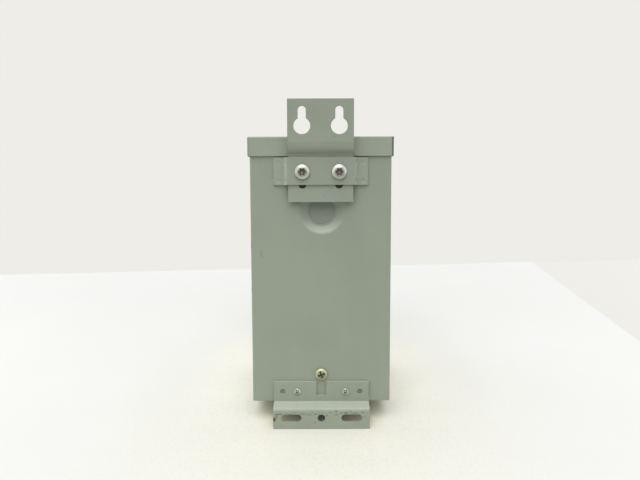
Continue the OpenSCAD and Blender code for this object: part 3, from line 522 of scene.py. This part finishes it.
def tappedLining():
    # a ring wall inside each spare hole: its inner radius falls by a triangle wave of
    # (depth minus turn) over one pitch, so the crest runs round as a helix
    lining = {"bore": 3.15, "pitch": 1.27, "deep": 0.42, "wall": 0.05, "from": 6.3, "to": 9.5, "x": 15.1, "z": -47.0}
    along = np.linspace(lining["from"], lining["to"], 61)[:, None]
    turn = np.linspace(0, 2 * np.pi, 48, endpoint=False)[None, :]
    wave = np.abs(((along / lining["pitch"] - turn / (2 * np.pi)) % 1.0) * 2 - 1)
    fade = np.clip(np.minimum(along - lining["from"], lining["to"] - along) / 0.5, 0, 1)
    radius = lining["bore"] - lining["wall"] - lining["deep"] * wave * fade
    outer = np.full((1, 48), lining["bore"] - 0.01)
    radii = np.vstack([outer, radius, outer])
    depth = np.vstack([along[:1], along, along[-1:]]) + 0 * turn
    for name, x in (("tappedThreadLeft", -lining["x"]), ("tappedThreadRight", lining["x"])):
        points = np.stack([x + radii * np.cos(turn), depth, lining["z"] + radii * np.sin(turn)], -1) * mm
        gridPiece(name, points, threadShadeMetal, aroundU=True, aroundV=True, inward=True)


def mandrelStubs():
    # a shallow dome with a torn crown: height falls with the square of the radius, plus ripples
    stub = {"radius": 0.85, "seat": 9.08, "rise": 0.42, "x": 20.6, "z": bottomZ / mm + 8.8}
    reach = np.linspace(0, 1, 14)[:, None]
    turn = np.linspace(0, 2 * np.pi, 36, endpoint=False)[None, :]
    for side, name in ((-1, "mandrelLeft"), (1, "mandrelRight")):
        torn = 0.05 * np.sin(5 * turn + side) * np.sin(9 * reach + 2 * side) * (1 - reach)
        height = stub["rise"] * (1 - reach ** 2) + torn
        radius = stub["radius"] * reach + 1e-4
        points = np.stack([side * stub["x"] + radius * np.cos(turn), stub["seat"] - height + 0 * turn,
                           stub["z"] + radius * np.sin(turn)], -1) * mm
        gridPiece(name, points, zinc, aroundV=True)


def coverSeam():
    # paint that bridges the tight seam at the cover's back left corner: a strip whose face bows
    # out by a thin half ellipse over its width and closes at both ends
    seam = {"x": -59.2, "half": 0.34, "bow": 0.05, "lip": 16.1, "bend": 1.3}
    low, high = corner("cover", 0), corner("cover", 1)
    share = np.linspace(0, 1, 25)[:, None]
    turn = np.linspace(0, 2 * np.pi, 16, endpoint=False)[None, :]
    thin = np.clip(1 - np.abs(2 * share - 1) ** 8, 0, 1) ** 0.5
    along = (high[2] / mm - seam["bend"]) - share * (seam["lip"] - seam["bend"] - 0.3)
    points = np.stack([seam["x"] + seam["half"] * thin * np.cos(turn) + 0 * along,
                       low[1] / mm - seam["bow"] * thin * np.sin(turn) + 0 * along, along + 0 * turn], -1) * mm
    gridPiece("coverSeamPaint", points, nodes["cover"].data.materials[0], aroundV=True)


def cornerWelds():
    # tack welds in the groove between side wall and front panel: a half round bead along Z,
    # its radius swelling with a row of overlapping ripples and closing to nothing at both ends
    bead = {"x": 57.5, "y": 110.3, "radius": 1.0, "length": 13.0, "ripple": 0.09, "pitch": 1.15,
            "levels": (-224.0, -196.0, -168.0, -140.0, -112.0)}
    share = np.linspace(0, 1, 61)[:, None]
    turn = np.linspace(0, 2 * np.pi, 24, endpoint=False)[None, :]
    envelope = np.clip(1 - np.abs(2 * share - 1) ** 6, 0, 1) ** 0.5
    for side, letter in ((-1, "Left"), (1, "Right")):
        for k, low in enumerate(bead["levels"]):
            along = low + bead["length"] * share
            ripple = bead["ripple"] * np.abs(np.sin(np.pi * along / bead["pitch"] + 0.6 * np.cos(turn)))
            radius = (bead["radius"] + ripple) * envelope + 1e-4
            points = np.stack([side * (bead["x"] + radius * np.cos(turn)), bead["y"] + radius * np.sin(turn),
                               along + 0 * turn], -1) * mm
            gridPiece(f"cornerWeld{letter}{k}", points, nodes["case_wrap"].data.materials[0],
                      aroundV=True, inward=side > 0)


tappedLining()
mandrelStubs()
coverSeam()
cornerWelds()
print("the small pieces are made")


# ---- floor, light and camera

def floorFinish():
    finish = Finish("paleFloor")
    cloud = finish.noise(9.0, 3.0, 0.5)
    speck = finish.noise(240.0, 3.0, 0.6).ease(0.68, 0.76)
    shade = finish.blend(cloud.ease(0.3, 0.7), tone(207, 208, 205), tone(209, 210, 208))
    across, away = finish.x * 0.8, (finish.y - 10 * mm) * 0.7
    near = (across * across + away * away).calc("SQRT").ease(190 * mm, 40 * mm)  # painted light: warmer and paler round the unit
    shade = finish.blend(near * 0.6, shade, tone(214, 212, 198))
    # painted light where the case's shadow falls under and beside it, held back just beside the case and warmer under
    # the slots
    underLight = abs(finish.x).ease(150 * mm, 62 * mm) * finish.y.ease(-5 * mm, 20 * mm)
    underLight = underLight * finish.y.ease(232 * mm, 100 * mm)
    beside = abs(finish.x).ease(48 * mm, 66 * mm) * finish.y.ease(60 * mm, 20 * mm)
    underLight = underLight * abs(finish.x).ease(10 * mm, 34 * mm) * (1 - beside * 0.7)
    shade = finish.blend(underLight * 0.64, shade, tone(239, 238, 226))
    shade = finish.blend(underLight * abs(finish.x).ease(60 * mm, 45 * mm) * 0.6, shade, tone(238, 231, 200))
    # painted light in front of the bracket, where its shadow falls
    front = abs(finish.x).ease(85 * mm, 30 * mm) * abs(finish.y + 16 * mm).ease(24 * mm, 4 * mm)
    shade = finish.blend(front * 0.18, shade, tone(232, 230, 214))
    # painted shade: the floor is darker far behind the unit
    shade = finish.blend(finish.y.ease(120 * mm, 330 * mm) * 0.4, shade, tone(199, 200, 198))
    grain = finish.noise(430.0, 4.0, 0.75, warp=0.8).ease(0.45, 0.72)
    shade = finish.blend(grain * (near * 0.19 + 0.03), shade, tone(170, 163, 130))
    shade = finish.blend(speck * (near * 0.22 + 0.10), shade, tone(170, 160, 122))
    shade = finish.blend(finish.x.ease(366 * mm, 369 * mm), shade, tone(198, 197, 193))  # the sheet ends here
    return finish.close(shade, cloud * 0.1 + 0.5, finish.noise(420.0, 3.0, 0.6), 0.05)


def layFloor():
    # a flat sheet through the bracket's lower edge and the case's front lower edge, where the unit stands
    sheet = {"left": -900.0, "right": 900.0, "near": -620.0, "far": 433.0, "skew": 0.067,
             "below": 0.05}
    slope = (bottomZ - bracketLow[2]) / (frontY - 0.0)
    x = np.linspace(sheet["left"], sheet["right"], 3)[:, None] * mm
    share = np.linspace(0, 1, 3)[None, :]
    farEdge = sheet["far"] * mm + sheet["skew"] * x  # the sheet lies a little askew
    y = sheet["near"] * mm * (1 - share) + farEdge * share
    points = np.stack([x + 0 * y, y + 0 * x, bracketLow[2] + slope * y - sheet["below"] * mm + 0 * x], -1)
    index = np.arange(9).reshape(3, 3)
    faces = np.stack([index[:-1, :-1], index[1:, :-1], index[1:, 1:], index[:-1, 1:]], -1).reshape(-1, 4)
    mesh = bpy.data.meshes.new("floor")
    mesh.from_pydata(points.reshape(-1, 3).tolist(), [], faces.tolist())
    mesh.materials.append(floorFinish())
    floor = bpy.data.objects.new("floor", mesh)
    bpy.context.scene.collection.objects.link(floor)


def wideLamp(name, azimuth, elevation, spread, share):  # share 1 lights a facing sheet to its own colour
    lamp = bpy.data.lights.new(name, "SUN")
    lamp.angle, lamp.energy = math.radians(spread), share * math.pi
    holder = bpy.data.objects.new(name, lamp)
    bpy.context.scene.collection.objects.link(holder)
    holder.rotation_euler = Euler((math.radians(90 - elevation), 0.0, math.radians(azimuth)))


def lightRoom():
    room = {"fill": 0.155, "wall": (238, 237, 232)}
    world = bpy.data.worlds.new("paleRoom")
    world.use_nodes = True
    tree = world.node_tree
    tree.nodes.clear()
    paths = tree.nodes.new("ShaderNodeLightPath")
    seen = tree.nodes.new("ShaderNodeMath")
    seen.operation = "MAXIMUM"
    more = tree.nodes.new("ShaderNodeMath")
    more.operation = "MAXIMUM"
    tree.links.new(paths.outputs["Is Camera Ray"], seen.inputs[0])
    tree.links.new(paths.outputs["Is Glossy Ray"], seen.inputs[1])
    tree.links.new(seen.outputs[0], more.inputs[0])
    tree.links.new(paths.outputs["Is Transmission Ray"], more.inputs[1])
    glow = tree.nodes.new("ShaderNodeBackground")
    glow.inputs["Color"].default_value = (1.0, 0.995, 0.98, 1.0)
    glow.inputs["Strength"].default_value = room["fill"]
    wall = tree.nodes.new("ShaderNodeBackground")
    wall.inputs["Color"].default_value = tone(*room["wall"])
    mixed = tree.nodes.new("ShaderNodeMixShader")
    tree.links.new(more.outputs[0], mixed.inputs[0])
    tree.links.new(glow.outputs[0], mixed.inputs[1])
    tree.links.new(wall.outputs[0], mixed.inputs[2])
    end = tree.nodes.new("ShaderNodeOutputWorld")
    tree.links.new(mixed.outputs[0], end.inputs["Surface"])
    bpy.context.scene.world = world
    wideLamp("frontAbove", -5.0, 50.0, 54.0, 0.38)
    wideLamp("overhead", 0.0, 86.0, 60.0, 0.33)
    wideLamp("leftAbove", -84.0, 42.0, 100.0, 0.54)
    wideLamp("rightAbove", 84.0, 42.0, 100.0, 0.42)


def placeCamera():
    view = {"x": -0.75, "y": -407.0, "z": -57.9, "down": 4.8, "roll": -0.18, "lens": 28.125}
    camera = bpy.data.cameras.new("camera")
    camera.lens, camera.sensor_width = view["lens"], 36.0
    camera.clip_start, camera.clip_end = 0.01, 20.0
    holder = bpy.data.objects.new("camera", camera)
    bpy.context.scene.collection.objects.link(holder)
    holder.location = (view["x"] * mm, view["y"] * mm, view["z"] * mm)
    turned = Euler((math.radians(90.0 - view["down"]), 0.0, 0.0)).to_matrix()
    rolled = Euler((0.0, 0.0, math.radians(view["roll"]))).to_matrix()
    holder.rotation_euler = (turned @ rolled).to_euler()
    bpy.context.scene.camera = holder


layFloor()
lightRoom()
placeCamera()
bpy.context.scene.view_settings.view_transform = "Standard"
print("floor, light and camera are set")
